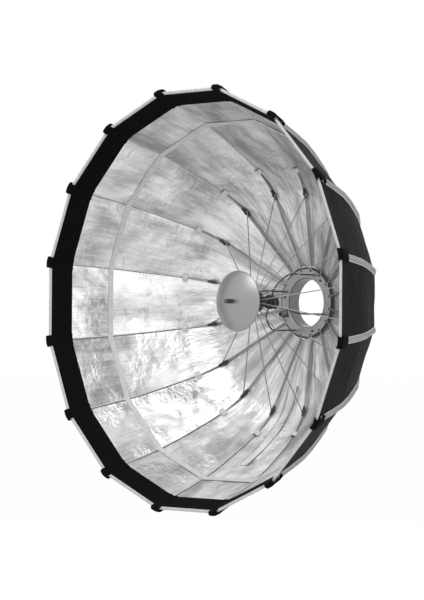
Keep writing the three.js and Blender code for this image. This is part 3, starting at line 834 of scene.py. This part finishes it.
def clip(k):
    """Moulded clip round the rod with a stud for the strut's eye."""
    near = int(np.argmin(np.linalg.norm(ROD_LINE - CLIP, axis=1)))
    path = [rib_point(k, *ROD_LINE[i]) for i in (near - 2, near - 1, near, near + 1, near + 2)]
    sleeve_shape = tube(path, np.array([3.3, 4.0, 4.4, 4.0, 3.3]) * MM, 16)
    stud = across_tube(k, CLIP, 1.9 * MM, 2 * MM, 4.3 * MM)
    cheek = across_tube(k, CLIP, 4.6 * MM, -4.2 * MM, -2.2 * MM)
    piece = mesh_piece(f"strut_clip_{k + 1:02d}", *joined(sleeve_shape, stud, cheek), [PLASTIC])
    tidy(piece, bevel=0.3 * MM)
    finish_piece(piece, f"rib_{k + 1:02d}")


def eye_ring(inner, outer, centre, k, half=1.4 * MM):
    section = [(inner, -half), (outer, -half), (outer, half), (inner, half)]
    return turned(section, 20, centre, tangent(rib_angle(k)))


def strut(k):
    start, end = rib_point(k, *HUB_PIVOT), rib_point(k, *CLIP, STRUT_SIDE)
    along = (end - start) / np.linalg.norm(end - start)
    path = [start + along * 2.4 * MM, start + along * 40 * MM, end - along * 40 * MM, end - along * 2 * MM]
    wire = tube(path, 1.5 * MM, 12)
    ring = eye_ring(1.5 * MM, 3.1 * MM, start, k)
    eye = eye_ring(0.9 * MM, 3.2 * MM, end, k)
    piece = mesh_piece(f"strut_wire_{k + 1:02d}", *joined(wire, ring, eye), [STRUT_STEEL])
    tidy(piece)
    finish_piece(piece, f"strut_{k + 1:02d}")
    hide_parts(f"strut_{k + 1:02d}")


# ---- Access slot in the lower panel between the ninth and tenth ribs ----
SLOT_PANEL = 8
SLOT_RADII = (0.246, 0.474)
SLOT_HALF = 17 * MM
SLOT_SIDE = 9 * MM  # how far the slot's middle lies from the panel's, towards the ninth rib


def access_slot():
    """Stitched flap of lining round a slit, drawn as two strips that ride on the two gores it crosses."""
    rows = np.linspace(along_at_radius(SLOT_RADII[0]), along_at_radius(SLOT_RADII[1]), 30)
    for k, side in ((SLOT_PANEL, -1), (SLOT_PANEL + 1, 1)):
        offset = SLOT_SIDE * -side

        def edge(s, distance, side=side):
            return side * (half_width(s) - distance)

        reach = SLOT_HALF + (SLOT_SIDE if side < 0 else -SLOT_SIDE)
        columns = [lambda s, d=d: edge(s, d) for d in np.linspace(0.05 * MM, reach, 4)]
        name = f"slot_flap_{k + 1:02d}"
        piece = tape_on_gore(name, k, rows, columns, 1.2 * MM, 0.7 * MM, LINING)
        flatten(piece, keep_at(rows.mean()))
        line = tube([on_gore(k, s, edge(s, reach - 1 * MM), 2.1 * MM) for s in rows], 0.55 * MM, 6)
        stitch = mesh_piece(f"slot_stitch_{k + 1:02d}", *line, [THREAD])
        tidy(stitch)
        finish_piece(stitch, f"rib_{k + 1:02d}")
        flatten(stitch, keep_at(rows.mean()))


# ---- Metal parts ----
def paint_cad_nodes():
    looks = {
        "speedring_flange": RING,
        "speedring_body": RING_DARK,
        "mount_insert": INSERT,
        "latch_bracket": BRACKET,
        "latch_socket": PLASTIC,
        "release_button_a": PLASTIC,
        "release_button_b": PLASTIC,
        "strut_hub": PLASTIC,
        "hub_stem": STRUT_STEEL,
        "ring_lock_knob": INSERT,
    }
    for name, material in looks.items():
        node = frame["nodes"][name]
        node.data.materials.clear()
        node.data.materials.append(material)
        for polygon in node.data.polygons:
            polygon.use_smooth = True
        node.data.set_sharp_from_angle(angle=math.radians(32))
        cut = node.modifiers.new("edge", "BEVEL")
        cut.width, cut.segments, cut.limit_method = 0.25 * MM, 2, "ANGLE"
        cut.angle_limit = math.radians(40)


def deflector():
    low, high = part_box("deflector")
    radius, rise = (high.x - low.x) / 2, high.y - low.y - 1.6 * MM
    sphere = (radius**2 + rise**2) / (2 * rise)
    centre_y = low.y + sphere
    hole = 3.3 * MM
    radii = np.linspace(hole, radius, 40)
    front = [(r, -(centre_y - math.sqrt(sphere**2 - r**2))) for r in radii]
    back = [(r, h - 1.5 * MM) for r, h in reversed(front)]
    verts, faces = turned(front + back, 128, np.zeros(3), (0, -1, 0))
    piece = mesh_piece("deflector_dome", verts, faces, [DEFLECTOR])
    tidy(piece, angle=60)
    finish_piece(piece, "hub")
    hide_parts("deflector")


def knob():
    low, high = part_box("deflector_knob")
    length, radius = high.y - low.y, (high.x - low.x) / 2
    flutes = 20
    outline = [(3.3 * MM, 0), (radius, 0), (radius, length - 2 * MM), (radius - 2 * MM, length)]
    outline += [(0.2 * MM, length), (0.2 * MM, length - 3 * MM), (3.3 * MM, length - 3 * MM)]
    verts, faces = turned(outline, flutes * 4, np.array([0, high.y, 0]), (0, -1, 0))
    shaped = []
    for v in verts:
        r = math.hypot(v[0], v[2])
        if r > radius - 0.5 * MM:
            pull = 1 - 0.35 * MM / r * (1 - math.cos(math.atan2(v[2], v[0]) * flutes))
            v = np.array([v[0] * pull, v[1], v[2] * pull])
        shaped.append(v)
    piece = mesh_piece("thumb_knob", shaped, faces, [KNOB])
    tidy(piece)
    finish_piece(piece, "knob")
    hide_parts("deflector_knob")


FLANGE_THICKNESS, BODY_GAP = 4 * MM, 0.3 * MM
SCREW_DEGREES = (-42, 78, 198)
SCREW_CIRCLE = 86 * MM


def ring_details():
    """Round-headed screws on the flange, and the raised lip round its opening."""
    flange_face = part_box("speedring_body")[0].y - (FLANGE_THICKNESS + BODY_GAP)
    shapes = []
    for degrees in SCREW_DEGREES:
        angle = math.radians(degrees)
        centre = radial(angle) * SCREW_CIRCLE + AXIS * flange_face
        dome = [(0.2, 0.05), (3.9, 0.05), (4.0, 0.8), (3.4, 2.0), (2.0, 2.7), (1.4, 2.7)]
        dome += [(1.4, 1.4), (0.2, 1.4)]
        shapes.append(turned([(r * MM, h * MM) for r, h in dome], 24, centre, (0, -1, 0)))
    piece = mesh_piece("flange_screws", *joined(*shapes), [BRACKET])
    tidy(piece)
    finish_piece(piece, "ring")
    lip = [(72.4, 0.05), (76.5, 0.05), (76.5, 1.2), (75.6, 2.0), (73.4, 2.0), (72.4, 1.2)]
    verts, faces = turned([(r * MM, h * MM) for r, h in lip], 96, AXIS * flange_face, (0, -1, 0))
    piece = mesh_piece("flange_lip", verts, faces, [RING])
    tidy(piece)
    finish_piece(piece, "ring")


# ---- Studio ----
def ray_switch(tree, camera_value, other):
    """Shows camera_value to camera, glossy and transmission rays, and other to the rest."""
    path = tree.nodes.new("ShaderNodeLightPath")
    first = tree.nodes.new("ShaderNodeMath")
    first.operation = "MAXIMUM"
    tree.links.new(path.outputs["Is Camera Ray"], first.inputs[0])
    tree.links.new(path.outputs["Is Glossy Ray"], first.inputs[1])
    second = tree.nodes.new("ShaderNodeMath")
    second.operation = "MAXIMUM"
    tree.links.new(first.outputs[0], second.inputs[0])
    tree.links.new(path.outputs["Is Transmission Ray"], second.inputs[1])
    mix = tree.nodes.new("ShaderNodeMixShader")
    tree.links.new(second.outputs[0], mix.inputs[0])
    tree.links.new(other, mix.inputs[1])
    tree.links.new(camera_value, mix.inputs[2])
    return mix.outputs[0]


def studio():
    scene = bpy.context.scene
    scene.view_settings.view_transform = "Standard"
    world = bpy.data.worlds.new("studio")
    scene.world = world
    world.use_nodes = True
    tree = world.node_tree
    soft = tree.nodes["Background"]
    soft.inputs["Color"].default_value = (1, 1, 1, 1)
    soft.inputs["Strength"].default_value = 0.55
    white = tree.nodes.new("ShaderNodeBackground")
    white.inputs["Color"].default_value = (1, 1, 1, 1)
    white.inputs["Strength"].default_value = 1.0
    seen = ray_switch(tree, white.outputs[0], soft.outputs[0])
    tree.links.new(seen, tree.nodes["World Output"].inputs["Surface"])
    floor_material = bpy.data.materials.new("studio_floor")
    floor_material.use_nodes = True
    tree = floor_material.node_tree
    matt = tree.nodes["Principled BSDF"]
    matt.inputs["Base Color"].default_value = (0.86, 0.86, 0.86, 1)
    matt.inputs["Roughness"].default_value = 0.9
    glow = tree.nodes.new("ShaderNodeEmission")
    glow.inputs["Strength"].default_value = 1.07
    shadowed = tree.nodes.new("ShaderNodeMixShader")
    shadowed.inputs[0].default_value = 0.85
    tree.links.new(matt.outputs[0], shadowed.inputs[1])
    tree.links.new(glow.outputs[0], shadowed.inputs[2])
    final = ray_switch(tree, shadowed.outputs[0], matt.outputs[0])
    tree.links.new(final, tree.nodes["Material Output"].inputs["Surface"])
    size, depth = 40.0, -0.95
    corners = [(x * size, y * size, depth) for x, y in ((-1, -1), (1, -1), (1, 1), (-1, 1))]
    floor = mesh_piece("studio_floor", corners, [(0, 1, 2, 3)], [floor_material])
    lamp("key_overhead", (0.5, -2.6, 3.0), (0, -0.3, 0), 3.2, 75)
    lamp("fill_right", (3.8, -1.6, 0.2), (0, -0.2, 0), 2.4, 16)
    lamp("back_left", (-2.8, 2.2, 1.8), (0, -0.2, 0), 2.0, 16)


def lamp(name, place, target, size, power):
    data = bpy.data.lights.new(name, "AREA")
    data.shape, data.size, data.energy = "DISK", size, power
    light = bpy.data.objects.new(name, data)
    bpy.context.scene.collection.objects.link(light)
    light.location = place
    light.rotation_mode = "QUATERNION"
    light.rotation_quaternion = (Vector(target) - Vector(place)).to_track_quat("-Z", "Y")


# ---- Everything ----
make_camera(RIM_Y)
PANELS = [panel_grid(k) for k in range(RIBS)]
NORMALS = [grid_normals(grid) for grid in PANELS]
for rib in range(RIBS):
    gore_segments(rib, PANELS, NORMALS)
    band(rib)
    binding(rib)
    webbing(rib)
    pocket(rib)
    sleeve(rib)
    rib_seam(rib)
    loop_tab(rib)
    rod(rib)
    strut(rib)
access_slot()
paint_cad_nodes()
deflector()
knob()
ring_details()
studio()
